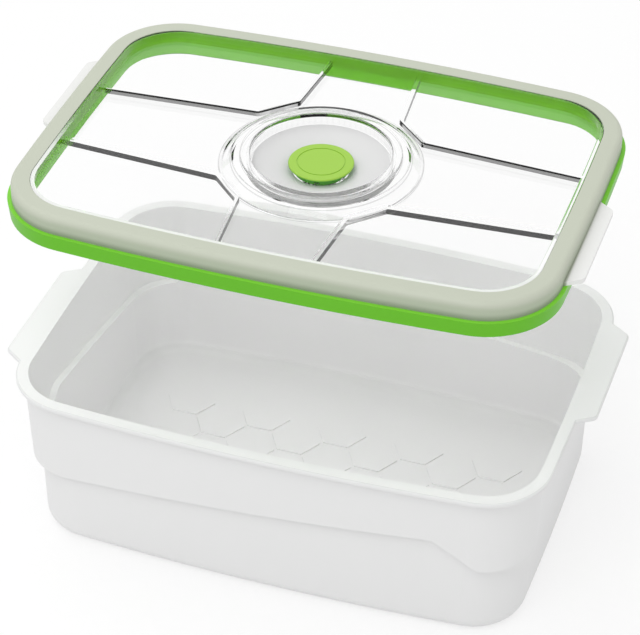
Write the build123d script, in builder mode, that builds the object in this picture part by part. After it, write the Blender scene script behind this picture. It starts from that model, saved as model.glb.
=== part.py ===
"""Vacuum food storage box: tray-shaped box, clear lid with a pump seat, and a sprung release valve.

Millimetres, +Z up, origin at the centre of the base. The lid is held above the box, as photographed.
"""
from build123d import *
from math import hypot, radians, sqrt, tan
import os

os.makedirs("parts", exist_ok=True)

# Box sizes
BOX_HEIGHT = 95.0
MOUTH_HALF_LENGTH = 133.8
MOUTH_HALF_WIDTH = 93.0
MOUTH_CORNER = 28.0
LONG_SIDE_BOW = 6.0
SHORT_SIDE_BOW = 1.8
BOX_WALL = 2.2
FLANGE_WIDTH = 6.2
FLANGE_THICKNESS = 2.6
FLANGE_EDGE_ROUND = 0.9
UPPER_DRAFT = 2.2
STEP_INSET = 3.6
LOWER_DRAFT = 1.2
LOWER_CORNER = 32.0
BASE_ROUND = 8.5
FLOOR_THICKNESS = 2.8

# Slanted step round the box: heights above the table, and where each face's rise starts and ends
STEP_LOW = 46.0
STEP_HIGH = 62.0
FRONT_STEP_START = -108.0
FRONT_STEP_CREST = 88.0
FRONT_STEP_FOOT = 111.0
SIDE_STEP_START = -66.0
SIDE_STEP_CREST = 42.0
SIDE_STEP_FOOT = 62.0
STEP_CREST_ROUND = 9.0
STEP_OVERLAP = 4.0
STEP_CUT_REACH = 230.0
FRONT_CUT_DEPTH = 60.0
SIDE_CUT_DEPTH = 98.0

# Grip handles on the box flange: positions along the short side
HANDLE_EDGE_X = 149.0
HANDLE_ROOT_BACK = 66.0
HANDLE_TIP_BACK = 57.5
HANDLE_TIP_FRONT = -13.0
HANDLE_ROOT_FRONT = -21.0
HANDLE_TIP_ROUND = 4.0
HANDLE_OVERLAP = 3.0

# Raised hexagon pads on the floor, as two grids of columns and rows that interleave
PAD_ACROSS_POINTS = 27.6
PAD_COLUMN_PITCH = 21.9
PAD_ROW_PITCH = 27.0
PAD_HEIGHT = 0.6
PAD_GRIDS = [(5, 4), (4, 3)]

# Lid: the outer edge of the pale rim is the outline every other lid line is drawn in from
LID_TOP = 211.4
LID_HALF_LENGTH = 136.0
LID_HALF_WIDTH = 97.8
LID_CORNER = 37.5
RIM_SKIRT_WIDTH = 2.0
RIM_WIDTH = 9.3
RIM_PLATE = 2.0
RIM_DROP = 9.5
RIM_EDGE_ROUND = 3.0
RIM_GAP = 0.2
TAB_EDGE_X = 143.8
TAB_TIP_BACK = 8.0
TAB_ROOT_BACK = 16.0
TAB_TIP_FRONT = -50.0
TAB_ROOT_FRONT = -58.0
TAB_THICKNESS = 2.2
TAB_TIP_ROUND = 3.5
TAB_OVERLAP = 4.0

# Clear dish
DISH_WALL = 2.0
LIP_DROP = 0.3
PANEL_DROP = 3.0
BAND_DROP = 6.0
DISH_PLATE = 2.0
BAND_HALF_AT_END = 21.5
BAND_HALF_AT_RING = 28.4
BAND_HALF_AT_SIDE = 19.6
BAND_HALF_AT_RING_SIDE = 26.0
RING_CORNER_X = 42.4
RING_CORNER_Y = 44.5
PANEL_ROUND = 2.5
PANEL_REACH = 20.0

# Pump seat: radii and drops below the lid top
SEAT_RADIUS = 34.6
CREST_RADIUS = 39.6
CREST_ROUND = 0.5
SHELF_RADIUS = 43.6
SHELF_DROP = 1.0
SHELF_EDGE_DROP = 1.8
RING_FOOT_RADIUS = 50.1
RING_FOOT_WIDTH = 2.4
RING_OVERLAP = 1.0
SHELF_UNDERCUT = 1.2
SEAT_PLATE = 2.0
SEAT_EDGE_DROP = 6.3
SEAT_INNER_DROP = 10.6
WELL_RADIUS = 15.4
WELL_DROP = 13.4
BOSS_RADIUS = 6.4
BOSS_DROP = 19.0
STEM_RADIUS = 3.2
STEM_CLEARANCE = 0.3
STEM_END_GAP = 0.2
VENT_RADIUS = 1.6
VENT_CIRCLE = 10.8
VENT_COUNT = 6

# Valve parts
DISC_RADIUS = 33.7
DISC_HOLE_RADIUS = 14.9
DISC_THICKNESS = 1.4
DISC_SEAT_GAP = 0.1
CAP_RADIUS = 16.1
CAP_DROP = 5.8
CAP_THICKNESS = 1.3
CAP_EDGE_ROUND = 0.7
SKIRT_TOP_RADIUS = 14.6
SKIRT_FOOT_RADIUS = 13.9
SKIRT_WALL = 1.6
SKIRT_FOOT_DROP = 9.6
NOTCH_COUNT = 6
NOTCH_WIDTH = 4.2
NOTCH_HEIGHT = 1.5
NOTCH_CUT_LENGTH = 6.2
NOTCH_FIRST_ANGLE = 30.0
CAP_MARK_RADIUS = 12.0
CAP_MARK_WIDTH = 0.6
CAP_MARK_DEPTH = 0.3
PRESS_TRAVEL = 1.6
PIN_RADIUS = 1.6
PIN_CLEARANCE = 0.05
PIN_LENGTH = 6.0
PIN_END_GAP = 0.3
WASHER_RADIUS = 7.2
WASHER_HOLE_RADIUS = 3.6
WASHER_THICKNESS = 1.2
POPPET_RADIUS = 7.6
POPPET_THICKNESS = 1.8
SPRING_RADIUS = 7.6
SPRING_WIRE = 0.45
SPRING_TURNS = 3.5

# Green gasket: insets from the lid outline and drops below the lid top
GASKET_OUT = 2.0
GASKET_FOOT_OUT = 1.2
GASKET_OUTER_EDGE = 2.4
GASKET_INNER_EDGE = 9.1
GASKET_SEAT_EDGE = 5.4
GASKET_INNER_DROP = 14.8
GASKET_DROP = 17.5
GROOVE_OUTER_EDGE = 0.2
GROOVE_INNER_EDGE = 1.4
GROOVE_DEPTH = 1.3

# How far a cut runs past the face it opens
CUT_OVER = 1.0

# Derived heights and outlines
MOUTH_OUTER_INSET = -FLANGE_WIDTH
LOWER_TOP = STEP_HIGH + STEP_OVERLAP
DISH_OUTER_INSET = RIM_WIDTH + RIM_GAP
DISH_INNER_INSET = DISH_OUTER_INSET + DISH_WALL
BORE_RADIUS = STEM_RADIUS + STEM_CLEARANCE
STEM_FOOT_DROP = BOSS_DROP - STEM_END_GAP
SKIRT_TOP_DROP = CAP_DROP + CAP_THICKNESS

# Pump ring and seat section, as (radius, height below the lid top) from the outside in
RING_UPPER = [(RING_FOOT_RADIUS, -BAND_DROP), (SHELF_RADIUS, -SHELF_EDGE_DROP), (CREST_RADIUS, -SHELF_DROP),
              (CREST_RADIUS, 0), (SEAT_RADIUS, 0), (SEAT_RADIUS, -SEAT_EDGE_DROP),
              (WELL_RADIUS, -SEAT_INNER_DROP), (WELL_RADIUS, -WELL_DROP), (0, -WELL_DROP)]
RING_UNDER = [(RING_FOOT_RADIUS, -BAND_DROP - DISH_PLATE),
              (RING_FOOT_RADIUS - RING_FOOT_WIDTH, -BAND_DROP - DISH_PLATE),
              (SHELF_RADIUS - SHELF_UNDERCUT, -SHELF_EDGE_DROP - SEAT_PLATE),
              (SEAT_RADIUS + SEAT_PLATE, -SHELF_DROP - SEAT_PLATE),
              (SEAT_RADIUS + SEAT_PLATE, -SEAT_EDGE_DROP - SEAT_PLATE),
              (WELL_RADIUS + SEAT_PLATE, -SEAT_INNER_DROP - SEAT_PLATE),
              (WELL_RADIUS + SEAT_PLATE, -WELL_DROP - SEAT_PLATE), (BOSS_RADIUS, -WELL_DROP - SEAT_PLATE),
              (BOSS_RADIUS, -BOSS_DROP), (0, -BOSS_DROP)]
RING_SECTION = RING_UPPER + RING_UNDER[::-1]


def bow_radius(half_chord, bow):
    """Radius of a side that bows out by bow over its whole length."""
    return (half_chord ** 2 + bow ** 2) / (2 * bow)


def bowed_corner(half_length, half_width, inset):
    """Where the bowed long and short sides would meet, once both are moved in by inset."""
    long_radius = bow_radius(half_length - SHORT_SIDE_BOW, LONG_SIDE_BOW)
    short_radius = bow_radius(half_width - LONG_SIDE_BOW, SHORT_SIDE_BOW)
    rise = long_radius - half_width
    run = short_radius - half_length
    span = hypot(rise, run)
    along = ((long_radius - inset) ** 2 - (short_radius - inset) ** 2 + span ** 2) / (2 * span)
    across = sqrt((long_radius - inset) ** 2 - along ** 2)
    return (across * rise - along * run) / span, (along * rise + across * run) / span - rise


def bowed_sketch(half_length, half_width, corner, height, inset):
    """Round-cornered rectangle with bowed sides at a height, moved in by inset."""
    x, y = bowed_corner(half_length, half_width, inset)
    side_x, side_y = half_length - inset, half_width - inset
    with BuildSketch(Plane.XY.offset(height)) as outline:
        with BuildLine():
            ThreePointArc((-x, -y), (0, -side_y), (x, -y))
            ThreePointArc((x, -y), (side_x, 0), (x, y))
            ThreePointArc((x, y), (0, side_y), (-x, y))
            ThreePointArc((-x, y), (-side_x, 0), (-x, -y))
        make_face()
        fillet(outline.vertices(), corner - inset)
    return outline.sketch


def mouth_sketch(height, inset):
    """Outline of the box mouth at a height, moved in by inset."""
    return bowed_sketch(MOUTH_HALF_LENGTH, MOUTH_HALF_WIDTH, MOUTH_CORNER, height, inset)


def foot_sketch(height, inset):
    """Outline of the box's lower, drawn-in part at a height, moved in by inset."""
    return bowed_sketch(MOUTH_HALF_LENGTH, MOUTH_HALF_WIDTH, LOWER_CORNER, height, inset)


def lid_sketch(drop, inset):
    """Outline of the lid at a drop below its top, moved in by inset."""
    return bowed_sketch(LID_HALF_LENGTH, LID_HALF_WIDTH, LID_CORNER, LID_TOP - drop, inset)


def upper_draw(height):
    """How far the upper wall has drawn in at a height."""
    return (BOX_HEIGHT - height) * tan(radians(UPPER_DRAFT))


def lower_draw(height):
    """How far the lower wall has drawn in at a height, beyond the step's own inset."""
    return upper_draw(STEP_HIGH) + (STEP_HIGH - height) * tan(radians(LOWER_DRAFT))


def step_cutter(plane, start, crest, foot, rise, depth):
    """Prism that takes the wall away below one face's slanted step line."""
    far = STEP_CUT_REACH
    with BuildPart() as cutter:
        with BuildSketch(plane.offset(far)):
            with BuildLine():
                Polyline((-far, -far), (-far, STEP_LOW), (start, STEP_LOW), (crest, STEP_HIGH),
                         (foot, STEP_LOW), (far, STEP_LOW), (far, -far), close=True)
            face = make_face()
            fillet(face.vertices().sort_by(Axis.Y)[-1], STEP_CREST_ROUND)
            if rise:
                offset(amount=rise, kind=Kind.INTERSECTION, mode=Mode.REPLACE)
        extrude(amount=-(far - depth))
    return cutter.part


def stepped_body(wall, floor_height, base_round, top_height):
    """The box's stepped form moved in by wall; made once for the outside and once for the hollow."""
    front_face = Plane.XZ
    side_face = Plane(origin=(0, 0, 0), x_dir=(0, 1, 0), z_dir=(1, 0, 0))
    front = step_cutter(front_face, FRONT_STEP_START, FRONT_STEP_CREST, FRONT_STEP_FOOT,
                        wall, FRONT_CUT_DEPTH - wall)
    side = step_cutter(side_face, SIDE_STEP_START, SIDE_STEP_CREST, SIDE_STEP_FOOT,
                       wall, SIDE_CUT_DEPTH - wall)
    with BuildPart() as body:
        upper = [mouth_sketch(height, wall - BOX_WALL + upper_draw(height))
                 for height in (top_height, floor_height)]
        loft(upper, ruled=True)
        for cutter in (front, side):
            add(cutter, mode=Mode.SUBTRACT)
            add(cutter.rotate(Axis.Z, 180), mode=Mode.SUBTRACT)
        lower = [foot_sketch(height, wall - BOX_WALL + STEP_INSET + lower_draw(height))
                 for height in (LOWER_TOP + wall, floor_height)]
        loft(lower, ruled=True)
        base = body.faces().sort_by(Axis.Z)[0]
        fillet(base.edges(), base_round)
    return body.part


def grip_sketch(height, edge_x, root_back, tip_back, tip_front, root_front, tip_round, root_x):
    """A grip's outline on the right-hand short side, with rounded tips."""
    with BuildSketch(Plane.XY.offset(height)) as grip:
        with BuildLine():
            Polyline((root_x, root_front), (edge_x, tip_front), (edge_x, tip_back),
                     (root_x, root_back), close=True)
        make_face()
        fillet(grip.vertices().group_by(Axis.X)[-1], tip_round)
    return grip.sketch


# Box: stepped shell, floor pads, flange and two grips
box_outside = stepped_body(0.0, 0.0, BASE_ROUND, BOX_HEIGHT - FLANGE_THICKNESS / 2)
box_hollow = stepped_body(BOX_WALL, FLOOR_THICKNESS, BASE_ROUND - BOX_WALL, BOX_HEIGHT + CUT_OVER)
with BuildPart() as box_grip:
    add(grip_sketch(BOX_HEIGHT, HANDLE_EDGE_X, HANDLE_ROOT_BACK, HANDLE_TIP_BACK,
                    HANDLE_TIP_FRONT, HANDLE_ROOT_FRONT, HANDLE_TIP_ROUND,
                    MOUTH_HALF_LENGTH + HANDLE_OVERLAP))
    extrude(amount=-FLANGE_THICKNESS)
    levels = box_grip.faces().sort_by(Axis.Z)
    fillet(levels[0].edges() + levels[-1].edges(), FLANGE_EDGE_ROUND)
with BuildPart() as box_body:
    add(mouth_sketch(BOX_HEIGHT, MOUTH_OUTER_INSET))
    extrude(amount=-FLANGE_THICKNESS)
    fillet(box_body.edges().filter_by(GeomType.LINE, reverse=True), FLANGE_EDGE_ROUND)
    add(box_grip)
    add(box_grip.part.rotate(Axis.Z, 180))
    add(box_outside)
    add(box_hollow, mode=Mode.SUBTRACT)
    with BuildSketch(Plane.XY.offset(FLOOR_THICKNESS)):
        for columns, rows in PAD_GRIDS:
            with GridLocations(2 * PAD_COLUMN_PITCH, PAD_ROW_PITCH, columns, rows):
                RegularPolygon(PAD_ACROSS_POINTS / 2, 6, rotation=0)
    extrude(amount=PAD_HEIGHT)
box_body.part.label = "box_body"
export_step(box_body.part, "parts/box_body.step")

# Lid rim: pale frame with a skirt and two pull tabs
rim_tab = grip_sketch(LID_TOP - RIM_DROP, TAB_EDGE_X, TAB_ROOT_BACK, TAB_TIP_BACK,
                      TAB_TIP_FRONT, TAB_ROOT_FRONT, TAB_TIP_ROUND,
                      LID_HALF_LENGTH - TAB_OVERLAP)
with BuildPart() as lid_rim:
    add(lid_sketch(0, 0))
    extrude(amount=-RIM_DROP)
    fillet(lid_rim.faces().sort_by(Axis.Z)[-1].edges(), RIM_EDGE_ROUND)
    add(rim_tab)
    add(rim_tab.rotate(Axis.Z, 180))
    extrude(amount=TAB_THICKNESS)
    add(lid_sketch(RIM_PLATE, RIM_SKIRT_WIDTH))
    extrude(amount=-RIM_DROP, mode=Mode.SUBTRACT)
    add(lid_sketch(0, RIM_WIDTH))
    extrude(amount=-RIM_DROP, mode=Mode.SUBTRACT)
lid_rim.part.label = "lid_rim"
export_step(lid_rim.part, "parts/lid_rim.step")


def lid_ring(drop, outer_inset, inner_inset):
    """Flat ring between two insets of the lid outline."""
    with BuildSketch(Plane.XY.offset(LID_TOP - drop)) as ring:
        add(lid_sketch(drop, outer_inset))
        add(lid_sketch(drop, inner_inset), mode=Mode.SUBTRACT)
    return ring.sketch


def panel_sketch(height, inset):
    """One raised corner panel between the cross bands and the pump ring, moved in by inset."""
    reach_x, reach_y = LID_HALF_LENGTH + PANEL_REACH, LID_HALF_WIDTH + PANEL_REACH
    with BuildSketch(Plane.XY.offset(height)) as panel:
        with BuildLine():
            Polyline((RING_CORNER_X, BAND_HALF_AT_RING), (reach_x, BAND_HALF_AT_END),
                     (reach_x, reach_y), (BAND_HALF_AT_SIDE, reach_y),
                     (BAND_HALF_AT_RING_SIDE, RING_CORNER_Y), close=True)
        make_face()
        if inset:
            offset(amount=-inset, kind=Kind.INTERSECTION, mode=Mode.REPLACE)
        fillet(panel.vertices(), PANEL_ROUND)
    return panel.sketch


def four_panels(drop, inset):
    """The four corner panels, mirrored about both lid axes, at a drop below the lid top."""
    panel = panel_sketch(LID_TOP - drop, inset)
    with BuildSketch(Plane.XY.offset(LID_TOP - drop)) as panels:
        for turned_panel in (panel, panel.mirror(Plane.YZ)):
            add(turned_panel)
            add(turned_panel.mirror(Plane.XZ))
        add(lid_sketch(drop, DISH_OUTER_INSET), mode=Mode.INTERSECT)
    return panels.sketch


def band_sketch(drop):
    """The cross-shaped sunk bands between the corner panels."""
    with BuildSketch(Plane.XY.offset(LID_TOP - drop)) as bands:
        add(lid_sketch(drop, DISH_INNER_INSET))
        add(four_panels(drop, 0), mode=Mode.SUBTRACT)
    return bands.sketch


# Clear dish: side wall, cross bands, corner panels, pump ring, valve well and guide boss
with BuildPart() as lid_dish:
    add(lid_sketch(LIP_DROP, DISH_OUTER_INSET))
    extrude(amount=-(BAND_DROP + DISH_PLATE - LIP_DROP))
    add(lid_sketch(LIP_DROP, DISH_INNER_INSET))
    extrude(amount=-(PANEL_DROP - LIP_DROP), mode=Mode.SUBTRACT)
    add(lid_ring(RIM_PLATE, GASKET_OUTER_EDGE, DISH_OUTER_INSET))
    extrude(amount=-DISH_PLATE)
    # Cross bands are sunk from above, corner panels are hollowed from below
    add(band_sketch(BAND_DROP))
    extrude(amount=BAND_DROP - PANEL_DROP, mode=Mode.SUBTRACT)
    add(four_panels(BAND_DROP + DISH_PLATE, DISH_PLATE))
    extrude(amount=BAND_DROP - PANEL_DROP, mode=Mode.SUBTRACT)
    # Pump ring and seat are turned about the lid's axis
    with BuildSketch(Plane.XY.offset(LID_TOP - PANEL_DROP)):
        Circle(RING_FOOT_RADIUS - RING_OVERLAP)
    extrude(amount=-(BAND_DROP + DISH_PLATE - PANEL_DROP), mode=Mode.SUBTRACT)
    with BuildSketch(Plane.XZ) as ring_profile:
        with BuildLine():
            Polyline(*[(radius, LID_TOP + height) for radius, height in RING_SECTION], close=True)
        make_face()
        fillet(ring_profile.vertices().group_by(Axis.Y)[-1], CREST_ROUND)
    revolve(axis=Axis.Z)
    # Bore for the button's stem and the vents under the grey disc
    with BuildSketch(Plane.XY.offset(LID_TOP)):
        Circle(BORE_RADIUS)
        with PolarLocations(VENT_CIRCLE, VENT_COUNT):
            Circle(VENT_RADIUS)
    extrude(amount=-(BOSS_DROP + CUT_OVER), mode=Mode.SUBTRACT)
lid_dish.part.label = "lid_dish"
export_step(lid_dish.part, "parts/lid_dish.step")

# Green gasket: ring in the rim's channel, outer ledge and a sealing groove
with BuildPart() as lid_gasket:
    loft([lid_sketch(RIM_DROP, -GASKET_OUT), lid_sketch(GASKET_DROP, -GASKET_FOOT_OUT)], ruled=True)
    add(lid_sketch(RIM_DROP - CUT_OVER, GASKET_SEAT_EDGE))
    extrude(amount=-GASKET_DROP, mode=Mode.SUBTRACT)
    add(lid_ring(RIM_PLATE + DISH_PLATE, GASKET_OUTER_EDGE, GASKET_INNER_EDGE))
    extrude(amount=-(GASKET_INNER_DROP - RIM_PLATE - DISH_PLATE))
    add(lid_ring(GASKET_DROP, GROOVE_OUTER_EDGE, GROOVE_INNER_EDGE))
    extrude(amount=GROOVE_DEPTH, mode=Mode.SUBTRACT)
lid_gasket.part.label = "lid_gasket"
export_step(lid_gasket.part, "parts/lid_gasket.step")


def turned(points, name):
    """Solid of revolution about the lid's axis from (radius, drop) points."""
    with BuildPart() as part:
        with BuildSketch(Plane.XZ):
            with BuildLine():
                Polyline(*[(radius, LID_TOP - drop) for radius, drop in points], close=True)
            make_face()
        revolve(axis=Axis.Z)
    part.part.label = name
    return part.part


def seat_drop(radius):
    """Drop of the dished pump seat at a radius."""
    slope = (SEAT_INNER_DROP - SEAT_EDGE_DROP) / (SEAT_RADIUS - WELL_RADIUS)
    return SEAT_EDGE_DROP + (SEAT_RADIUS - radius) * slope


# Light grey disc lying in the dished pump seat
disc_edge_drop = seat_drop(DISC_RADIUS) - DISC_SEAT_GAP
disc_hole_drop = seat_drop(DISC_HOLE_RADIUS) - DISC_SEAT_GAP
valve_disc = turned([(DISC_HOLE_RADIUS, disc_hole_drop), (DISC_RADIUS, disc_edge_drop),
                     (DISC_RADIUS, disc_edge_drop - DISC_THICKNESS),
                     (DISC_HOLE_RADIUS, disc_hole_drop - DISC_THICKNESS)], "valve_disc")
export_step(valve_disc, "parts/valve_disc.step")

# Release button: cap, notched skirt and hollow stem
with BuildPart() as release_button:
    add(turned([(PIN_RADIUS + PIN_CLEARANCE, STEM_FOOT_DROP), (STEM_RADIUS, STEM_FOOT_DROP),
                (STEM_RADIUS, SKIRT_TOP_DROP), (SKIRT_TOP_RADIUS - SKIRT_WALL, SKIRT_TOP_DROP),
                (SKIRT_FOOT_RADIUS - SKIRT_WALL, SKIRT_FOOT_DROP), (SKIRT_FOOT_RADIUS, SKIRT_FOOT_DROP),
                (SKIRT_TOP_RADIUS, SKIRT_TOP_DROP), (CAP_RADIUS, SKIRT_TOP_DROP), (CAP_RADIUS, CAP_DROP),
                (0, CAP_DROP), (0, STEM_FOOT_DROP - PIN_LENGTH),
                (PIN_RADIUS + PIN_CLEARANCE, STEM_FOOT_DROP - PIN_LENGTH)], "release_button"))
    fillet(release_button.faces().sort_by(Axis.Z)[-1].edges(), CAP_EDGE_ROUND)
    with BuildSketch(Plane.XY.offset(LID_TOP - CAP_DROP)):
        Circle(CAP_MARK_RADIUS)
        Circle(CAP_MARK_RADIUS - CAP_MARK_WIDTH, mode=Mode.SUBTRACT)
    extrude(amount=-CAP_MARK_DEPTH, mode=Mode.SUBTRACT)
    with BuildSketch(Plane.XY.offset(LID_TOP - SKIRT_FOOT_DROP)):
        with PolarLocations(SKIRT_FOOT_RADIUS, NOTCH_COUNT, start_angle=NOTCH_FIRST_ANGLE):
            Rectangle(NOTCH_CUT_LENGTH, NOTCH_WIDTH)
    extrude(amount=NOTCH_HEIGHT, mode=Mode.SUBTRACT)
release_button.part.label = "release_button"
press_room = seat_drop(CAP_RADIUS) - DISC_SEAT_GAP - DISC_THICKNESS - SKIRT_TOP_DROP
print(f"room under the cap {press_room:.2f} mm, press travel {PRESS_TRAVEL} mm")
export_step(release_button.part, "parts/release_button.step")

# Poppet: pin pressed into the stem, disc below the lid; washer between disc and boss
washer_top = BOSS_DROP
poppet_top = washer_top + WASHER_THICKNESS
pin_top = STEM_FOOT_DROP - PIN_LENGTH + PIN_END_GAP
valve_poppet = turned([(0, pin_top), (PIN_RADIUS, pin_top), (PIN_RADIUS, STEM_FOOT_DROP),
                       (STEM_RADIUS, STEM_FOOT_DROP), (STEM_RADIUS, poppet_top), (POPPET_RADIUS, poppet_top),
                       (POPPET_RADIUS, poppet_top + POPPET_THICKNESS),
                       (0, poppet_top + POPPET_THICKNESS)], "valve_poppet")
export_step(valve_poppet, "parts/valve_poppet.step")
poppet_washer = turned([(WASHER_HOLE_RADIUS, washer_top), (WASHER_RADIUS, washer_top),
                        (WASHER_RADIUS, poppet_top), (WASHER_HOLE_RADIUS, poppet_top)], "poppet_washer")
export_step(poppet_washer, "parts/poppet_washer.step")

# Return spring between the well floor and the underside of the cap
spring_height = WELL_DROP - SKIRT_TOP_DROP - 2 * SPRING_WIRE
with BuildPart() as return_spring:
    with BuildLine():
        coil = Helix(pitch=spring_height / SPRING_TURNS, height=spring_height, radius=SPRING_RADIUS,
                     center=(0, 0, LID_TOP - WELL_DROP + SPRING_WIRE))
    with BuildSketch(Plane(origin=coil @ 0, z_dir=coil % 0)):
        Circle(SPRING_WIRE)
    sweep(path=coil)
return_spring.part.label = "return_spring"
export_step(return_spring.part, "parts/return_spring.step")
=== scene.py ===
"""Looks of the vacuum food storage box: white tray box, clear lid in a pale rim, green gasket and button."""

import math

import bmesh
import bpy
from bpy.props import FloatProperty, FloatVectorProperty, PointerProperty
from mathutils import Matrix, Vector


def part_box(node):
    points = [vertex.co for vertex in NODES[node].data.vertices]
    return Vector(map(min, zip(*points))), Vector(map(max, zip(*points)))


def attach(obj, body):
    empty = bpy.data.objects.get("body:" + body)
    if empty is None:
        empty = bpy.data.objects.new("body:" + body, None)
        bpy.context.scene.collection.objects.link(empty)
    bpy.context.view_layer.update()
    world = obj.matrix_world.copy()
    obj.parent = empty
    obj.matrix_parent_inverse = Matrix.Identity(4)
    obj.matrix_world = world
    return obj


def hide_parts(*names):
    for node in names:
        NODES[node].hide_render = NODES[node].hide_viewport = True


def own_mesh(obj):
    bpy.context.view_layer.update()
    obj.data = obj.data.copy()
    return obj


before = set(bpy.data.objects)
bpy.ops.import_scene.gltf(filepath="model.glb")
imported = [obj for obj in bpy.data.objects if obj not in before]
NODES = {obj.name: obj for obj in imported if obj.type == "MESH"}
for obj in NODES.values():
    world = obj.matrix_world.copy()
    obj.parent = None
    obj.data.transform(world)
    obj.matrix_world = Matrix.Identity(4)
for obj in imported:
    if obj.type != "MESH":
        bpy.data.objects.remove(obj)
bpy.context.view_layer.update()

bl_info = {
    "name": "Vacuum food box",
    "version": (1, 0, 0),
    "blender": (4, 5, 0),
    "location": "3D View > Sidebar > Food box",
    "description": "Finishes and stage of a vacuum food storage box",
    "category": "Object",
}

# Heights and widths taken from the frame; every length here is in metres
BOX_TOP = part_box("box_body")[1].z
LID_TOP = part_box("lid_rim")[1].z
LID_HALF_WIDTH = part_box("lid_rim")[1].y
BUTTON_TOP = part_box("release_button")[1].z

# Outline of the lid: its sides bow outwards between rounded corners
LID_HALF_LENGTH = 0.136
LID_CORNER = 0.0375
LONG_SIDE_BOW = 0.006
SHORT_SIDE_BOW = 0.0018
CORNER_STEPS = 16
SIDE_CUTS = 20

# Green lining inside the clear wall
LINING_INSET = 0.00975
LINING_TOP_DROP = 0.0006
LINING_HEIGHT = 0.0073
LINING_THICKNESS = 0.0002

# Box: pairs of values between which one tone fades into the next
FLANGE_TO_WALL = (0.004, 0.02)
FLANGE_TO_INSIDE = (-0.004, -0.02)
WALL_TO_FLOOR = (0.2, 0.6)
BELOW_THE_FLANGE = (BOX_TOP - 0.002, BOX_TOP - 0.006)
ABOVE_THE_FLOOR = (0.035, 0.04)
# Painted shade: the inside's floor takes a darker copy of the inside's tone
FLOOR_SHADE_TONE = 0.90
# Painted highlight: the inner ledge takes a lighter copy of the inside's tone
LEDGE_HIGHLIGHT_TONE = 1.04
BOX_CLOUD = 0.04
BOX_CLOUD_TONE = 0.8

# The box's slanted step: its lowest line, its rise, and where each face's rise starts, peaks and ends
STEP_LOW = 0.046
STEP_RISE = 0.016
LONG_SIDE_STEP = (-0.108, 0.088, 0.111)
SHORT_SIDE_STEP = (-0.066, 0.042, 0.062)
# Painted shade just under the step: where it starts, where it has faded, its share and its darker tone
STEP_SHADE_START = (-0.0003, 0.0003)
STEP_SHADE_END = (0.006, 0.0006)
STEP_SHADE_SHARE = 0.3
STEP_SHADE_TONE = 0.8

# Rim: drops below the lid's top, and distances from its middle, between which its tones fade
RIM_TO_SIDE = (0.0008, 0.0045)
SIDE_TO_FOOT = (0.0055, 0.0085)
RIM_TO_TAB = (LID_HALF_LENGTH - 0.0002, LID_HALF_LENGTH + 0.0012)

# Clear dish: insets from the lid's outline, radii of the pump ring and of its painted shade lines, and fades
DISH_FLOOR_EDGE = 0.0118
BAND_END = 0.0135
RING_FOOT = 0.0501
RING_FADE = 0.003
RING_LINES = (0.0349, 0.0394, 0.0436, 0.0499)
RING_LINE_FADE = (0.0004, 0.0001)
RING_LINE_SHARE = 0.6
STEEP_TO_LEVEL = (0.15, 0.75)
# Painted highlight along the lip's front top edge: its fade, drops, front limit, share and tones
LIP_FADE = 0.0004
LIP_DROP = (0.0007, 0.0004)
LIP_FRONT = (0.0, -0.05)
LIP_HIGHLIGHT_SHARE = 0.8
CLEAR_TINT = (0.99, 0.99, 0.99, 1.0)
LIP_DULL = (0.9, 0.9, 0.9, 1.0)
LIP_BRIGHT = (0.97, 0.97, 0.97, 1.0)

# Gasket: how far a face has to look up to be a ledge, and where the outline's inner side begins; both take a
# lighter green as painted light
SIDE_TO_LEDGE = (0.5, 0.9)
OUTER_TO_INNER = (0.0070, 0.0080)

# Return spring under the cap
SPRING_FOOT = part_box("return_spring")[0].z
SPRING_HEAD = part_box("return_spring")[1].z
SPRING_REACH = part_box("return_spring")[1].x
SPRING_TURNS = 3.5
SPRING_WIRE = 0.00045
WIRE_SIDES = 10
STEPS_A_TURN = 32
STEEL_DARK = (0.50, 0.50, 0.51, 1.0)
STEEL_LIGHT = (0.68, 0.68, 0.68, 1.0)

# Release button, from its top at the axis: radii and drops below the cap's top
CAP_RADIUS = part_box("release_button")[1].x
CAP_THICKNESS = 0.0010
CAP_ROUND = 0.0006
CAP_ROUND_STEPS = 4
CAP_TO_SIDE = (0.00035, 0.00105)
MARK_RADIUS = 0.0120
MARK_WIDTH = 0.0006
MARK_DEPTH = 0.0003
SKIRT_TOP_RADIUS = 0.0144
SKIRT_NOTCH_RADIUS = 0.0138
SKIRT_FOOT_RADIUS = 0.0134
SKIRT_WALL = 0.0016
SKIRT_NOTCH_DROP = 0.0031
SKIRT_DROP = 0.0046
STEM_RADIUS = 0.0032
STEM_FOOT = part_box("release_button")[0].z
PIN_HOLE_RADIUS = 0.00165
PIN_HOLE_DEPTH = 0.0060
NOTCHES = 6
NOTCH_SHARE = 0.19
NOTCH_TURN = math.radians(-88.0)
TURN_STEPS = 96
MERGE_DISTANCE = 0.000001
SAME_PLACE = 0.00001
POPPET_COLOUR = (0.74, 0.75, 0.73)
WASHER_COLOUR = (0.62, 0.62, 0.60)

# Soft disc lying in the dished seat, which drops towards its hole
DISC_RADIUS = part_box("valve_disc")[1].x
DISC_HOLE = 0.0140
DISC_THICKNESS = 0.0005
SEAT_RADIUS = 0.0346
SEAT_EDGE_DROP = 0.0064
SEAT_SLOPE = 0.224

# The photograph's camera, measured from the lines of the box and lid
CAMERA_PLACE = (0.3218, -0.9758, 0.8902)
CAMERA_AZIMUTH = math.radians(18.246)
CAMERA_ELEVATION = math.radians(37.193)
CAMERA_ROLL = math.radians(0.508)
SENSOR_WIDTH = 36.0
PHOTO_WIDTH = 640
FOCAL_PIXELS = 2535.82
VIEW_LIMIT = 50.0

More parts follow.
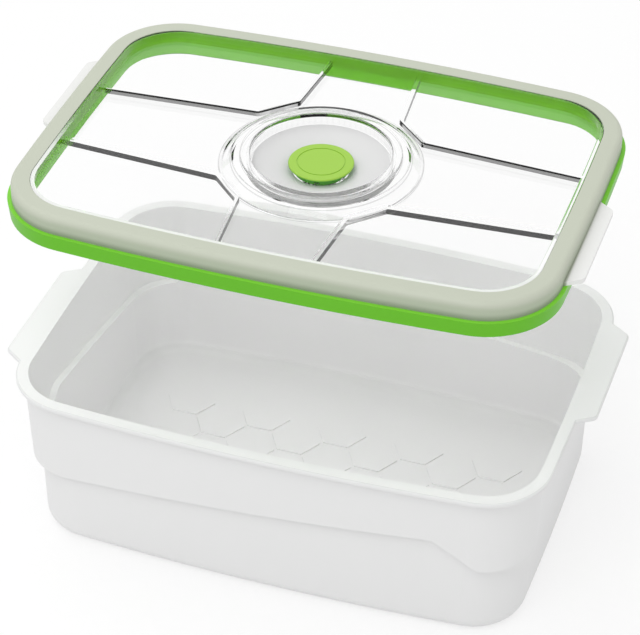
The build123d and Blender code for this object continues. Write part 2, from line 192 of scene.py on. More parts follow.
# Stage: each lamp's place and size, the point that both look at, and the floor
KEY_LAMP = ((-0.9, 0.5, 1.9), 1.6)
FILL_LAMP = ((-0.1, -1.1, 1.8), 1.0)
LAMPS_LOOK_AT = (0.0, 0.0, 0.1)
FLOOR_HALF_SIZE = 6.0
FLOOR_GRID = 8
FLOOR_GLOW = 0.7

# Noise in the finishes: patches a metre, and what they add to height and roughness
CLOUD_SCALE = 14.0
SPECK_SCALE = 2600.0
SINK_SCALE = 22.0
GRAIN_HEIGHT = 0.00002
SINK_HEIGHT = 0.00012
SPECK_ROUGHNESS = 0.08
CLOUD_ROUGHNESS = 0.06
FROST_CLOUD_SCALE = 18.0
FROST_SCALE = 3200.0
FROST_HEIGHT = 0.00003
FROST_ROUGHNESS = 0.1
WAVE_SCALE = 9.0
WAVE_HEIGHT = 0.0002
DUST_SCALE = 60.0
DUST_HEIGHT = 0.000004
DUST_ROUGHNESS = 0.02
DRAWN_SCALE = 900.0
DRAWN_ROUGHNESS = 0.15
PAPER_SCALE = 3.0

# How far the clouding darkens and lightens a colour
PLASTIC_CLOUD = 0.04
FROST_CLOUD = 0.03
GASKET_CLOUD = 0.07
LINING_CLOUD = 0.10
DISC_CLOUD = 0.03
PAPER_CLOUD = 0.01

# Roughness, refraction and strength of reflection of the materials
BOX_ROUGHNESS = 0.44
INSIDE_POLISH = 0.12
RIM_ROUGHNESS = 0.46
CLEAR_ROUGHNESS = 0.015
LIP_ROUGHNESS = 0.15
LIP_SPECK_ROUGHNESS = 0.1
GASKET_ROUGHNESS = 0.40
DISC_ROUGHNESS = 0.48
BUTTON_ROUGHNESS = 0.36
POPPET_ROUGHNESS = 0.4
WASHER_ROUGHNESS = 0.5
STEEL_ROUGHNESS = 0.22
PLASTIC_IOR = 1.49
CLEAR_IOR = 1.34
LIP_IOR = 1.46
SILICONE_IOR = 1.43
BOX_SPECULAR = 0.2
RIM_SPECULAR = 0.4
GASKET_SPECULAR = 0.35


class Value:
    """A number or vector socket that takes Python's operators and adds Math nodes for them."""

    def __init__(self, finish, socket):
        self.finish = finish
        self.socket = socket

    def maths(self, operation, first, second=None):
        inputs = {0: first} if second is None else {0: first, 1: second}
        return self.finish.node("ShaderNodeMath", {"operation": operation}, inputs)

    def __add__(self, other):
        return self.maths("ADD", self, other)

    def __radd__(self, other):
        return self.maths("ADD", other, self)

    def __sub__(self, other):
        return self.maths("SUBTRACT", self, other)

    def __rsub__(self, other):
        return self.maths("SUBTRACT", other, self)

    def __mul__(self, other):
        return self.maths("MULTIPLY", self, other)

    def __rmul__(self, other):
        return self.maths("MULTIPLY", other, self)

    def __truediv__(self, other):
        return self.maths("DIVIDE", self, other)

    def __pow__(self, other):
        return self.maths("POWER", self, other)

    def __abs__(self):
        return self.maths("ABSOLUTE", self)

    def sign(self):
        return self.maths("SIGN", self)

    def at_least(self, other):
        return self.maths("MAXIMUM", self, other)

    def at_most(self, other):
        return self.maths("MINIMUM", self, other)


class Finish:
    """A new material: its node tree, one method for every node, and the maths on their values."""

    def __init__(self, name):
        self.material = bpy.data.materials.new(name)
        self.material.use_nodes = True
        self.tree = self.material.node_tree
        self.tree.nodes.clear()
        self.output = self.tree.nodes.new("ShaderNodeOutputMaterial")

    def node(self, kind, settings=None, inputs=None, output=0):
        """Add a node: settings first, then a value or link for each named or numbered socket."""
        node = self.tree.nodes.new(kind)
        for name, value in (settings or {}).items():
            setattr(node, name, value)
        for name, value in (inputs or {}).items():
            self.plug(node.inputs[name], value)
        return Value(self, node.outputs[output])

    def plug(self, socket, value):
        if isinstance(value, Value):
            self.tree.links.new(value.socket, socket)
        else:
            socket.default_value = value

    def place(self):
        """The point being shaded, as x, y and z in metres in the part's frame."""
        point = self.node("ShaderNodeTexCoord", output="Object")
        node = self.tree.nodes.new("ShaderNodeSeparateXYZ")
        self.plug(node.inputs[0], point)
        return point, [Value(self, socket) for socket in node.outputs]

    def facing(self):
        """The direction that the surface faces, as x, y and z from -1 to 1."""
        normal = self.node("ShaderNodeNewGeometry", output="True Normal")
        node = self.tree.nodes.new("ShaderNodeSeparateXYZ")
        self.plug(node.inputs[0], normal)
        return [Value(self, socket) for socket in node.outputs]

    def step(self, value, low, high):
        """Smooth step from 0 at low to 1 at high."""
        return self.node("ShaderNodeMapRange", {"interpolation_type": "SMOOTHSTEP"},
                         {"Value": value, "From Min": low, "From Max": high})

    def noise(self, point, scale, detail=2.0, roughness=0.5):
        """Seeded three-dimensional noise about 0.5, with scale in patches a metre."""
        return self.node("ShaderNodeTexNoise", None,
                         {"Vector": point, "Scale": scale, "Detail": detail, "Roughness": roughness})

    def blend(self, factor, first, second):
        """Mix of two colours."""
        return self.node("ShaderNodeMix", {"data_type": "RGBA"},
                         {"Factor": factor, 6: first, 7: second}, output=2)

    def bump(self, height):
        """Small relief from a height in metres."""
        return self.node("ShaderNodeBump", None, {"Height": height, "Distance": 1.0, "Strength": 1.0})

    def plastic(self, constants, **varying):
        """A Principled shader with its constant sockets set and its varying ones linked."""
        names = {"colour": "Base Color", "roughness": "Roughness", "normal": "Normal"}
        inputs = dict(constants)
        inputs.update({names[key]: value for key, value in varying.items()})
        return self.node("ShaderNodeBsdfPrincipled", None, inputs)

    def layer(self, factor, under, over):
        """One shader over another where the factor is 1."""
        return self.node("ShaderNodeMixShader", None, {"Fac": factor, 1: under, 2: over})

    def show(self, shader):
        self.tree.links.new(shader.socket, self.output.inputs["Surface"])


def tint(colour, factor):
    """A colour made lighter or darker by a factor, as a colour socket wants it."""
    return tuple(min(1.0, part * factor) for part in colour[:3]) + (1.0,)


def dress(node, material):
    """Give every material slot of a CAD node one finish."""
    slots = NODES[node].material_slots
    if not slots:
        NODES[node].data.materials.append(material)
    for slot in slots:
        slot.material = material


def place_piece(shape, name, material, body):
    """Turn a bmesh into an object that rides on a body, with its finish."""
    mesh = bpy.data.meshes.new(name)
    shape.to_mesh(mesh)
    shape.free()
    piece = bpy.data.objects.new(name, mesh)
    bpy.context.scene.collection.objects.link(piece)
    mesh.materials.append(material)
    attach(piece, body)
    return piece


def lid_outline(shape, inset, height):
    """Loop of edges that follows the lid's bowed outline, moved in by inset, at a height."""
    grid = bmesh.ops.create_grid(shape, x_segments=1, y_segments=1, size=1.0)
    half_length = LID_HALF_LENGTH - inset
    half_width = LID_HALF_WIDTH - inset
    bmesh.ops.scale(shape, vec=(half_length, half_width, 1.0), verts=grid["verts"])
    bmesh.ops.bevel(shape, geom=list(shape.verts), offset=LID_CORNER - inset, offset_type="OFFSET",
                    affect="VERTICES", segments=CORNER_STEPS, profile=0.5, material=-1)
    sides = [edge for edge in shape.edges if edge.calc_length() > LID_CORNER]
    bmesh.ops.subdivide_edges(shape, edges=sides, cuts=SIDE_CUTS)
    for vertex in shape.verts:
        x, y = vertex.co.x, vertex.co.y
        vertex.co.x = x * (1 - SHORT_SIDE_BOW * (y / LID_HALF_WIDTH) ** 2 / half_length)
        vertex.co.y = y * (1 - LONG_SIDE_BOW * (x / LID_HALF_LENGTH) ** 2 / half_width)
        vertex.co.z = height
    bmesh.ops.delete(shape, geom=list(shape.faces), context="FACES_ONLY")
    return list(shape.edges)


def turned(profile, closed):
    """Bmesh of a section, given as radius and height pairs, turned once round the z axis."""
    shape = bmesh.new()
    points = [shape.verts.new((radius, 0.0, height)) for radius, height in profile]
    pairs = list(zip(points, points[1:]))
    if closed:
        pairs.append((points[-1], points[0]))
    edges = [shape.edges.new(pair) for pair in pairs]
    bmesh.ops.spin(shape, geom=points + edges, cent=(0.0, 0.0, 0.0), axis=(0.0, 0.0, 1.0),
                   angle=2 * math.pi, steps=TURN_STEPS, use_merge=True)
    bmesh.ops.remove_doubles(shape, verts=list(shape.verts), dist=MERGE_DISTANCE)
    bmesh.ops.recalc_face_normals(shape, faces=list(shape.faces))
    return shape


def lengthen_skirt(shape):
    """Draw the button's skirt down from its lower ring, apart from the notches, which stay open."""
    faces = []
    for face in shape.faces:
        middle = face.calc_center_median()
        turn = math.atan2(middle.y, middle.x) - NOTCH_TURN
        share = (turn / (2 * math.pi) * NOTCHES) % 1.0
        lower_ring = abs(middle.z - BUTTON_TOP + SKIRT_NOTCH_DROP) < SAME_PLACE
        if lower_ring and share > NOTCH_SHARE:
            faces.append(face)
    drawn = bmesh.ops.extrude_face_region(shape, geom=faces)["geom"]
    corners = [item for item in drawn if isinstance(item, bmesh.types.BMVert)]
    bmesh.ops.translate(shape, vec=(0.0, 0.0, SKIRT_NOTCH_DROP - SKIRT_DROP), verts=corners)
    taper = SKIRT_FOOT_RADIUS / SKIRT_NOTCH_RADIUS
    bmesh.ops.scale(shape, vec=(taper, taper, 1.0), verts=corners)
    left_over = [face for face in faces if face.is_valid]
    bmesh.ops.delete(shape, geom=left_over, context="FACES")


def mould_marks(finish, point):
    """Noise that moulded pieces share: faint clouding, fine specks and broad sink marks."""
    clouds = finish.noise(point, CLOUD_SCALE, 3.0)
    specks = finish.noise(point, SPECK_SCALE, 2.0, 0.6)
    sinks = finish.noise(point, SINK_SCALE, 1.0)
    return clouds, specks, sinks


def moulded(finish, colour, roughness, constants, cloud=PLASTIC_CLOUD, second=None, where=None):
    """Moulded plastic or silicone: faint clouding, fine grain, soft sink marks, and a second
    colour where a mask is 1."""
    point, _ = finish.place()
    clouds, specks, sinks = mould_marks(finish, point)
    shaded = finish.blend(clouds, tint(colour, 1.0 - cloud), tint(colour, 1.0 + cloud))
    if where is not None:
        shaded = finish.blend(where, shaded, tint(second, 1.0))
    gloss = roughness + (specks - 0.5) * SPECK_ROUGHNESS + (clouds - 0.5) * CLOUD_ROUGHNESS
    return finish.plastic(constants, colour=shaded, roughness=gloss,
                          normal=finish.bump(specks * GRAIN_HEIGHT + sinks * SINK_HEIGHT))


def lid_inset(x, y):
    """How far a point lies in from the lid's bowed, round-cornered outline, in metres."""
    half_length = LID_HALF_LENGTH - SHORT_SIDE_BOW * (y / LID_HALF_WIDTH) ** 2.0
    half_width = LID_HALF_WIDTH - LONG_SIDE_BOW * (x / LID_HALF_LENGTH) ** 2.0
    past_x = abs(x) - half_length + LID_CORNER
    past_y = abs(y) - half_width + LID_CORNER
    corner = (past_x.at_least(0.0) ** 2.0 + past_y.at_least(0.0) ** 2.0) ** 0.5
    return LID_CORNER - corner - past_x.at_least(past_y).at_most(0.0)


def step_line(along, places):
    """Height of the box's slanted step at a place along a face, for that face's start, crest and foot."""
    start, crest, foot = places
    rise = ((along - start) / (crest - start)).at_most((foot - along) / (foot - crest))
    return rise.at_least(0.0) * STEP_RISE + STEP_LOW


class FoodBoxColours(bpy.types.PropertyGroup):
    # Painted light and shade on the box: its flange, outer walls and inside are lighter and darker copies of
    # one white plastic
    white: FloatVectorProperty(name="Box white", description="Colour of the box's flange and grips",
                               default=(0.89, 0.89, 0.89), subtype="COLOR", min=0, max=1)
    outside: FloatVectorProperty(name="Box outside", description="Colour of the box's outer walls",
                                 default=(0.78, 0.78, 0.78), subtype="COLOR", min=0, max=1)
    inside: FloatVectorProperty(name="Box inside", description="Colour of the box's polished inside",
                                default=(0.97, 0.96, 0.97), subtype="COLOR", min=0, max=1)
    rim: FloatVectorProperty(name="Rim", description="Colour of the pale lid rim's top",
                             default=(0.51, 0.54, 0.445), subtype="COLOR", min=0, max=1)
    # Painted shade: darker copies of the rim's tone down its skirt and at its foot
    rim_side_shade: FloatVectorProperty(name="Rim side", description="Colour of the rim's skirt",
                                  default=(0.42, 0.47, 0.36), subtype="COLOR", min=0, max=1)
    rim_foot_shade: FloatVectorProperty(name="Rim foot", description="Colour along the skirt's lower edge",
                                  default=(0.31, 0.34, 0.27), subtype="COLOR", min=0, max=1)
    tabs: FloatVectorProperty(name="Tabs", description="Colour of the rim's pull tabs",
                              default=(0.80, 0.80, 0.79), subtype="COLOR", min=0, max=1)
    gasket: FloatVectorProperty(name="Gasket", description="Colour of the green gasket",
                                default=(0.12, 0.47, 0.008), subtype="COLOR", min=0, max=1)
    # Painted light: lighter copies of the gasket's green for its level faces and for the green seen through
    # the clear wall
    ledge_highlight: FloatVectorProperty(name="Gasket ledge", description="Colour of the gasket's level faces",
                               default=(0.21, 0.66, 0.04), subtype="COLOR", min=0, max=1)
    inner: FloatVectorProperty(name="Gasket inside", description="Green seen through the clear wall",
                               default=(0.19, 0.59, 0.012), subtype="COLOR", min=0, max=1)
    button: FloatVectorProperty(name="Button", description="Colour of the release button's cap",
                                default=(0.32, 0.575, 0.05), subtype="COLOR", min=0, max=1)
    skirt_shade: FloatVectorProperty(name="Button side", description="Colour of the button's shaded side",
                               default=(0.10, 0.42, 0.04), subtype="COLOR", min=0, max=1)
    disc: FloatVectorProperty(name="Disc", description="Colour of the soft disc in the pump seat",
                              default=(0.70, 0.70, 0.70), subtype="COLOR", min=0, max=1)
    # Painted shade: the grey tinted into the clear dish's steep steps and ring lines
    edges: FloatVectorProperty(name="Clear edges", description="Colour seen along the clear dish's steps",
                               default=(0.31, 0.31, 0.31), subtype="COLOR", min=0, max=1)


class FoodBoxStage(bpy.types.PropertyGroup):
    floor: FloatVectorProperty(name="Floor", description="Colour of the floor",
                               default=(0.94, 0.94, 0.94), subtype="COLOR", min=0, max=1)
    sky: FloatProperty(name="Sky light", description="Strength of the even light from all round",
                       default=0.78, min=0)
    key: FloatProperty(name="Key light", description="Power of the large lamp above", default=8.0,
                       min=0, unit="POWER")
    fill: FloatProperty(name="Fill light", description="Power of the lamp on the camera's side",
                        default=10.0, min=0, unit="POWER")


class FOODBOX_OT_box(bpy.types.Operator):
    """Finish the white tray box"""
    bl_idname = "foodbox.box"
    bl_label = "White box"

    def execute(self, context):
        colours = context.scene.food_box_colours
        finish = Finish("white_plastic")
        point, (x, y, z) = finish.place()
        toward_x, toward_y, toward_z = finish.facing()
        outward = x * toward_x + y * toward_y
        outside = finish.step(outward, *FLANGE_TO_WALL)
        floor = finish.step(toward_z, *WALL_TO_FLOOR) * finish.step(z, *BELOW_THE_FLANGE)
        inside = finish.step(outward, *FLANGE_TO_INSIDE).at_least(floor)
        # Painted highlight: level faces above the floor, the inner ledge, take a lighter copy of the
        # inside's tone
        ledge_highlight = floor * finish.step(z, *ABOVE_THE_FLOOR)
        clouds, specks, sinks = mould_marks(finish, point)
        # Painted light and shade: the flange, the outer walls and the inside take lighter and darker copies
        # of one white plastic, the inside lighter where the lid keeps light out, its floor darker
        shaded = finish.blend(outside, tint(colours.white, 1.0), tint(colours.outside, 1.0))
        # Painted shade: a darker copy of the outer wall's tone just under the slanted step
        shaded = finish.blend(self.painted_step_shade(finish, x, y, z) * outside * STEP_SHADE_SHARE, shaded,
                              tint(colours.outside, STEP_SHADE_TONE))
        shaded = finish.blend(inside, shaded, tint(colours.inside, 1.0))
        shaded = finish.blend(floor, shaded, tint(colours.inside, FLOOR_SHADE_TONE))
        shaded = finish.blend(ledge_highlight, shaded, tint(colours.inside, LEDGE_HIGHLIGHT_TONE))
        shaded = finish.blend(clouds * BOX_CLOUD, shaded, tint(colours.white, BOX_CLOUD_TONE))
        gloss = BOX_ROUGHNESS - inside * INSIDE_POLISH + (specks - 0.5) * SPECK_ROUGHNESS
        finish.show(finish.plastic({"IOR": PLASTIC_IOR, "Specular IOR Level": BOX_SPECULAR}, colour=shaded,
                                   roughness=gloss,
                                   normal=finish.bump(specks * GRAIN_HEIGHT + sinks * SINK_HEIGHT)))
        dress("box_body", finish.material)
        return {"FINISHED"}

    def painted_step_shade(self, finish, x, y, z):
        """Mask of painted shade: 1 just under the outer wall's slanted step, fading down the wall, and 0
        elsewhere.
        """
        along_long_side = y.sign() * x * -1.0
        along_short_side = x.sign() * y
        line = step_line(along_long_side, LONG_SIDE_STEP)
        line = line.at_least(step_line(along_short_side, SHORT_SIDE_STEP))
        return finish.step(line - z, *STEP_SHADE_START) * finish.step(line - z, *STEP_SHADE_END)


class FOODBOX_OT_rim(bpy.types.Operator):
    """Finish the pale frosted rim and its two tabs"""
    bl_idname = "foodbox.rim"
    bl_label = "Lid rim"

    def execute(self, context):
        colours = context.scene.food_box_colours
        finish = Finish("frosted_plastic")
        point, (x, _, z) = finish.place()
        clouds = finish.noise(point, FROST_CLOUD_SCALE, 3.0)
        specks = finish.noise(point, FROST_SCALE, 2.0, 0.6)
        on_tab = finish.step(abs(x), *RIM_TO_TAB)
        # Painted shade: the skirt below the rounded top edge, and darker still its foot, take darker copies
        # of the rim's frosted tone
        side = finish.step(LID_TOP - z, *RIM_TO_SIDE)
        foot = finish.step(LID_TOP - z, *SIDE_TO_FOOT)
        rim = finish.blend(clouds, tint(colours.rim, 1.0 - FROST_CLOUD),
                           tint(colours.rim, 1.0 + FROST_CLOUD))
        rim = finish.blend(side, rim, tint(colours.rim_side_shade, 1.0))
        rim = finish.blend(foot, rim, tint(colours.rim_foot_shade, 1.0))
        shaded = finish.blend(on_tab, rim, tint(colours.tabs, 1.0))
        finish.show(finish.plastic({"IOR": PLASTIC_IOR, "Specular IOR Level": RIM_SPECULAR}, colour=shaded,
                                   roughness=RIM_ROUGHNESS + (specks - 0.5) * FROST_ROUGHNESS,
                                   normal=finish.bump(specks * FROST_HEIGHT)))
        dress("lid_rim", finish.material)
        return {"FINISHED"}


class FOODBOX_OT_dish(bpy.types.Operator):
    """Finish the clear dish with its bands, panels and pump ring"""
    bl_idname = "foodbox.dish"
    bl_label = "Clear dish"

    def execute(self, context):
        colours = context.scene.food_box_colours
        finish = Finish("clear_plastic")
        point, (x, y, z) = finish.place()
        inset = lid_inset(x, y)
        radius = (x ** 2.0 + y ** 2.0) ** 0.5
        waves = finish.noise(point, WAVE_SCALE, 1.0)
        specks = finish.noise(point, DUST_SCALE, 3.0)
        # Painted shade: steep steps of the bands and panels are tinted grey, and the ring's steps only as
        # thin grey lines at listed radii
        steep = 1.0 - finish.step(abs(finish.facing()[2]), *STEEP_TO_LEVEL)
        on_bands = finish.step(inset, DISH_FLOOR_EDGE, BAND_END)
        past_ring = finish.step(radius, RING_FOOT, RING_FOOT + RING_FADE)
        ring_line_shade = finish.step(abs(radius - RING_LINES[0]), *RING_LINE_FADE)
        for place in RING_LINES[1:]:
            ring_line_shade = ring_line_shade.at_least(finish.step(abs(radius - place), *RING_LINE_FADE))
        dish_step_shade = (steep * (on_bands * past_ring)).at_least(ring_line_shade * RING_LINE_SHARE)
        shaded = finish.blend(dish_step_shade, CLEAR_TINT, tint(colours.edges, 1.0))
        normal = finish.bump(waves * WAVE_HEIGHT + specks * DUST_HEIGHT)
        clear = finish.plastic({"IOR": CLEAR_IOR, "Transmission Weight": 1.0}, colour=shaded,
                               roughness=CLEAR_ROUGHNESS + specks * DUST_ROUGHNESS, normal=normal)
        # Painted highlight: the lip's narrow top edge is layered with bright plastic along the front only
        lip = finish.step(inset, DISH_FLOOR_EDGE, DISH_FLOOR_EDGE - LIP_FADE)
        lip = lip * finish.step(LID_TOP - z, *LIP_DROP)
        lip = lip * finish.step(y, *LIP_FRONT)
        lip_highlight = finish.plastic({"IOR": LIP_IOR}, colour=finish.blend(specks, LIP_DULL, LIP_BRIGHT),
                                roughness=LIP_ROUGHNESS + specks * LIP_SPECK_ROUGHNESS)
        finish.show(finish.layer(lip * LIP_HIGHLIGHT_SHARE, clear, lip_highlight))
        dress("lid_dish", finish.material)
        return {"FINISHED"}


class FOODBOX_OT_gasket(bpy.types.Operator):
    """Finish the green silicone gasket"""
    bl_idname = "foodbox.gasket"
    bl_label = "Green gasket"

    def execute(self, context):
        colours = context.scene.food_box_colours
        finish = Finish("green_silicone")
        _, (x, y, _) = finish.place()
        # Painted light: level faces and the inner side take a lighter copy of the gasket's green
        ledge_highlight = finish.step(finish.facing()[2], *SIDE_TO_LEDGE)
        inner = finish.step(lid_inset(x, y), *OUTER_TO_INNER)
        finish.show(moulded(finish, colours.gasket, GASKET_ROUGHNESS,
                            {"IOR": SILICONE_IOR, "Specular IOR Level": GASKET_SPECULAR},
                            cloud=GASKET_CLOUD,
                            second=colours.ledge_highlight, where=ledge_highlight.at_least(inner)))
        dress("lid_gasket", finish.material)
        self.add_lining(colours)
        return {"FINISHED"}

    def add_lining(self, colours):
        """Thin green ring that shows the gasket's colour through the dish's clear wall, in a lighter green:
        painted light where the wall keeps light out.
        """
        lining = Finish("green_lining")
        lining.show(moulded(lining, colours.inner, GASKET_ROUGHNESS, {"IOR": SILICONE_IOR},
                            cloud=LINING_CLOUD))
        shape = bmesh.new()
        loop = lid_outline(shape, LINING_INSET, LID_TOP - LINING_TOP_DROP)
        drawn = bmesh.ops.extrude_edge_only(shape, edges=loop)["geom"]
        lower = [item for item in drawn if isinstance(item, bmesh.types.BMVert)]
        bmesh.ops.translate(shape, vec=(0.0, 0.0, -LINING_HEIGHT), verts=lower)
        bmesh.ops.recalc_face_normals(shape, faces=list(shape.faces))
        piece = place_piece(shape, "gasket_lining", lining.material, "lid")
        wall = piece.modifiers.new("wall", "SOLIDIFY")
        wall.thickness = LINING_THICKNESS
        wall.offset = 0.0


class FOODBOX_OT_disc(bpy.types.Operator):
    """Make the soft disc in the pump seat"""
    bl_idname = "foodbox.disc"
    bl_label = "Soft disc"

    def execute(self, context):
        colours = context.scene.food_box_colours
        disc = Finish("grey_silicone")
        disc.show(moulded(disc, colours.disc, DISC_ROUGHNESS, {"IOR": SILICONE_IOR},
                          cloud=DISC_CLOUD))
        edge = LID_TOP - SEAT_EDGE_DROP - (SEAT_RADIUS - DISC_RADIUS) * SEAT_SLOPE
        hole = LID_TOP - SEAT_EDGE_DROP - (SEAT_RADIUS - DISC_HOLE) * SEAT_SLOPE
        shape = turned([(DISC_HOLE, hole), (DISC_RADIUS, edge), (DISC_RADIUS, edge + DISC_THICKNESS),
                        (DISC_HOLE, hole + DISC_THICKNESS)], closed=True)
        sheet = place_piece(shape, "soft_disc", disc.material, "lid")
        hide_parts("valve_disc")
        return {"FINISHED"}


class FOODBOX_OT_poppet(bpy.types.Operator):
    """Finish the poppet below the lid and its washer"""
    bl_idname = "foodbox.poppet"
    bl_label = "Poppet and washer"

    def execute(self, context):
        poppet = Finish("poppet_plastic")
        poppet.show(moulded(poppet, POPPET_COLOUR, POPPET_ROUGHNESS, {"IOR": PLASTIC_IOR}))
        dress("valve_poppet", poppet.material)
        washer = Finish("washer_silicone")
        washer.show(moulded(washer, WASHER_COLOUR, WASHER_ROUGHNESS, {"IOR": SILICONE_IOR}))
        dress("poppet_washer", washer.material)
        return {"FINISHED"}


class FOODBOX_OT_spring(bpy.types.Operator):
    """Make the return spring under the button"""
    bl_idname = "foodbox.spring"
    bl_label = "Return spring"

    def execute(self, context):
        spring = Finish("spring_steel")
        point, _ = spring.place()
        drawn = spring.noise(point, DRAWN_SCALE, 2.0)
        steel = spring.blend(drawn, STEEL_DARK, STEEL_LIGHT)
        spring.show(spring.plastic({"Metallic": 1.0}, colour=steel,
                                   roughness=STEEL_ROUGHNESS + drawn * DRAWN_ROUGHNESS,
                                   normal=spring.bump(drawn * GRAIN_HEIGHT)))
        coil = place_piece(self.wind_wire(), "spring_coil", spring.material, "lid")
        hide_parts("return_spring")
        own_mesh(coil)
        return {"FINISHED"}

    def wind_wire(self):
        """Bmesh of a round wire wound upwards from the well's floor, with closed ends."""
        shape = bmesh.new()
        bmesh.ops.create_circle(shape, cap_ends=False, segments=WIRE_SIDES, radius=SPRING_WIRE)
        bmesh.ops.rotate(shape, cent=(0.0, 0.0, 0.0), matrix=Matrix.Rotation(math.pi / 2, 3, "X"),
                         verts=list(shape.verts))
        bmesh.ops.translate(shape, vec=(SPRING_REACH - SPRING_WIRE, 0.0, SPRING_FOOT + SPRING_WIRE),
                            verts=list(shape.verts))
        steps = int(SPRING_TURNS * STEPS_A_TURN)
        climb = (SPRING_HEAD - SPRING_FOOT - 2 * SPRING_WIRE) / steps
        bmesh.ops.spin(shape, geom=list(shape.edges), cent=(0.0, 0.0, 0.0), axis=(0.0, 0.0, 1.0),
                       dvec=(0.0, 0.0, climb), angle=SPRING_TURNS * 2 * math.pi, steps=steps)
        ends = [edge for edge in shape.edges if edge.is_boundary]
        bmesh.ops.holes_fill(shape, edges=ends, sides=0)
        bmesh.ops.recalc_face_normals(shape, faces=list(shape.faces))
        return shape


class FOODBOX_OT_button(bpy.types.Operator):
    """Make the green release button"""
    bl_idname = "foodbox.button"
    bl_label = "Release button"

    def execute(self, context):
        colours = context.scene.food_box_colours
        button = Finish("green_plastic")
        _, (_, _, z) = button.place()
        # Painted shade: the cap's side below its top edge takes the darker skirt green
        side = button.step(BUTTON_TOP - z, *CAP_TO_SIDE)
        button.show(moulded(button, colours.button, BUTTON_ROUGHNESS, {"IOR": PLASTIC_IOR},
                            second=colours.skirt_shade, where=side))
        shape = turned(self.section(), closed=False)
        bmesh.ops.bevel(shape, geom=self.cap_edges(shape), offset=CAP_ROUND, offset_type="OFFSET",
                        affect="EDGES", segments=CAP_ROUND_STEPS, profile=0.5, material=-1)
        lengthen_skirt(shape)
        cap = place_piece(shape, "green_button", button.material, "button")
        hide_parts("release_button")
        return {"FINISHED"}

    def section(self):
        """The button's section from the middle of its top to the pin hole in its stem."""
        mark_inside = MARK_RADIUS - MARK_WIDTH
        mark_foot = BUTTON_TOP - MARK_DEPTH
        cap_foot = BUTTON_TOP - CAP_THICKNESS
        notch_top = BUTTON_TOP - SKIRT_NOTCH_DROP
        hole_end = STEM_FOOT + PIN_HOLE_DEPTH
        return [(0.0, BUTTON_TOP), (mark_inside, BUTTON_TOP), (mark_inside, mark_foot),
                (MARK_RADIUS, mark_foot), (MARK_RADIUS, BUTTON_TOP), (CAP_RADIUS, BUTTON_TOP),
                (CAP_RADIUS, cap_foot), (SKIRT_TOP_RADIUS, cap_foot), (SKIRT_NOTCH_RADIUS, notch_top),
                (SKIRT_NOTCH_RADIUS - SKIRT_WALL, notch_top), (SKIRT_TOP_RADIUS - SKIRT_WALL, cap_foot),
                (STEM_RADIUS, cap_foot), (STEM_RADIUS, STEM_FOOT), (PIN_HOLE_RADIUS, STEM_FOOT),
                (PIN_HOLE_RADIUS, hole_end), (0.0, hole_end)]

    def cap_edges(self, shape):
        """The edges round the top of the cap."""
        edges = []
        for edge in shape.edges:
            at_rim = [abs(math.hypot(vertex.co.x, vertex.co.y) - CAP_RADIUS) < SAME_PLACE
                      and abs(vertex.co.z - BUTTON_TOP) < SAME_PLACE for vertex in edge.verts]
            if all(at_rim):
                edges.append(edge)
        return edges


def seen_directly(finish):
    """1 for rays that the camera, a reflection or clear plastic sends, and 0 for rays that light things."""
    node = finish.tree.nodes.new("ShaderNodeLightPath")
    seen = Value(finish, node.outputs["Is Camera Ray"])
    for name in ("Is Glossy Ray", "Is Transmission Ray"):
        seen = seen.at_least(Value(finish, node.outputs[name]))
    return seen


class WorldFinish(Finish):
    """The world's node tree, with the same ways to add nodes."""

    def __init__(self, world):
        world.use_nodes = True
        self.tree = world.node_tree
        self.tree.nodes.clear()
        self.output = self.tree.nodes.new("ShaderNodeOutputWorld")


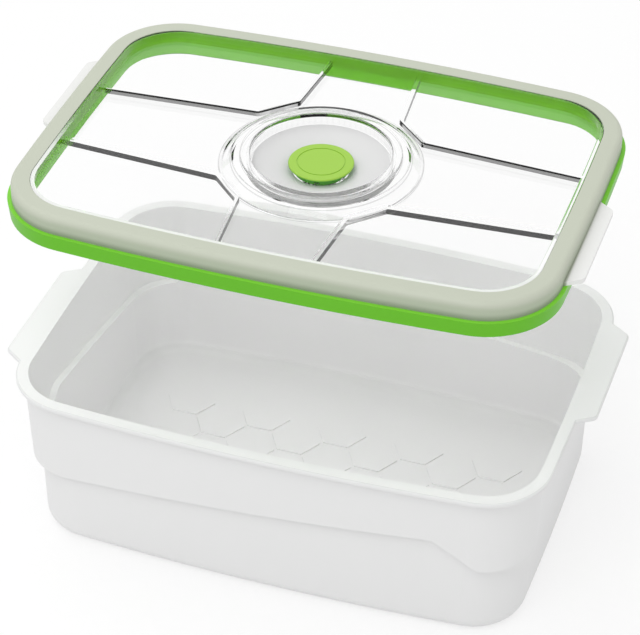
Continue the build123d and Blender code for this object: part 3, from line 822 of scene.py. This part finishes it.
class FOODBOX_OT_stage(bpy.types.Operator):
    """Set up the floor, the soft lamps, the white surroundings and the photograph's camera"""
    bl_idname = "foodbox.stage"
    bl_label = "Stage"

    def execute(self, context):
        settings = context.scene.food_box_stage
        self.make_floor(context, settings)
        self.make_sky(context, settings)
        self.make_lamp(context, "key_lamp", *KEY_LAMP, settings.key)
        self.make_lamp(context, "fill_lamp", *FILL_LAMP, settings.fill)
        self.make_camera(context)
        context.scene.view_settings.view_transform = "Standard"
        return {"FINISHED"}

    def make_floor(self, context, settings):
        shape = bmesh.new()
        bmesh.ops.create_grid(shape, x_segments=FLOOR_GRID, y_segments=FLOOR_GRID, size=FLOOR_HALF_SIZE)
        mesh = bpy.data.meshes.new("floor")
        shape.to_mesh(mesh)
        shape.free()
        floor = bpy.data.objects.new("floor", mesh)
        context.scene.collection.objects.link(floor)
        finish = Finish("floor_paper")
        point, _ = finish.place()
        paper = finish.noise(point, PAPER_SCALE, 2.0)
        colour = finish.blend(paper, tint(settings.floor, 1.0 - PAPER_CLOUD),
                              tint(settings.floor, 1.0 + PAPER_CLOUD))
        lit = finish.node("ShaderNodeBsdfDiffuse", None, {"Color": colour})
        glow = finish.node("ShaderNodeEmission", None, {"Strength": 1.0})
        finish.show(finish.layer(seen_directly(finish) * FLOOR_GLOW, lit, glow))
        mesh.materials.append(finish.material)

    def make_sky(self, context, settings):
        if context.scene.world is None:
            context.scene.world = bpy.data.worlds.new("white_surroundings")
        finish = WorldFinish(context.scene.world)
        seen = seen_directly(finish)
        strength = seen * (1.0 - settings.sky) + settings.sky
        finish.show(finish.node("ShaderNodeBackground", None,
                                {"Color": (1.0, 1.0, 1.0, 1.0), "Strength": strength}))

    def make_lamp(self, context, name, place, size, power):
        lamp = bpy.data.lights.new(name, "AREA")
        lamp.size = size
        lamp.energy = power
        holder = bpy.data.objects.new(name, lamp)
        holder.location = place
        aim = Vector(LAMPS_LOOK_AT) - Vector(place)
        holder.rotation_euler = aim.to_track_quat("-Z", "Y").to_euler()
        context.scene.collection.objects.link(holder)

    def make_camera(self, context):
        lens = bpy.data.cameras.new("photo_camera")
        lens.sensor_width = SENSOR_WIDTH
        lens.lens = FOCAL_PIXELS * SENSOR_WIDTH / PHOTO_WIDTH
        lens.clip_end = VIEW_LIMIT
        camera = bpy.data.objects.new("photo_camera", lens)
        turn = (Matrix.Rotation(CAMERA_AZIMUTH, 4, "Z")
                @ Matrix.Rotation(math.pi / 2 - CAMERA_ELEVATION, 4, "X")
                @ Matrix.Rotation(CAMERA_ROLL, 4, "Z"))
        camera.matrix_world = Matrix.Translation(CAMERA_PLACE) @ turn
        context.scene.collection.objects.link(camera)
        context.scene.camera = camera


class FOODBOX_PT_panel(bpy.types.Panel):
    """Lists the pieces' finishes and the stage"""
    bl_label = "Food box"
    bl_idname = "FOODBOX_PT_panel"
    bl_space_type = "VIEW_3D"
    bl_region_type = "UI"
    bl_category = "Food box"

    def draw(self, context):
        for operator in OPERATORS:
            self.layout.operator(operator.bl_idname)
        for group in (context.scene.food_box_colours, context.scene.food_box_stage):
            for name in group.bl_rna.properties.keys():
                if name not in ("rna_type", "name"):
                    self.layout.prop(group, name)


OPERATORS = (FOODBOX_OT_box, FOODBOX_OT_rim, FOODBOX_OT_dish, FOODBOX_OT_gasket, FOODBOX_OT_disc,
             FOODBOX_OT_poppet, FOODBOX_OT_spring, FOODBOX_OT_button, FOODBOX_OT_stage)
CLASSES = (FoodBoxColours, FoodBoxStage) + OPERATORS + (FOODBOX_PT_panel,)


def register():
    for cls in CLASSES:
        bpy.utils.register_class(cls)
    bpy.types.Scene.food_box_colours = PointerProperty(type=FoodBoxColours)
    bpy.types.Scene.food_box_stage = PointerProperty(type=FoodBoxStage)


def unregister():
    del bpy.types.Scene.food_box_stage
    del bpy.types.Scene.food_box_colours
    for cls in reversed(CLASSES):
        bpy.utils.unregister_class(cls)


def main():
    register()
    bpy.ops.foodbox.box()
    bpy.ops.foodbox.rim()
    bpy.ops.foodbox.dish()
    bpy.ops.foodbox.gasket()
    bpy.ops.foodbox.disc()
    bpy.ops.foodbox.poppet()
    bpy.ops.foodbox.spring()
    bpy.ops.foodbox.button()
    bpy.ops.foodbox.stage()


if __name__ == "__main__":
    main()
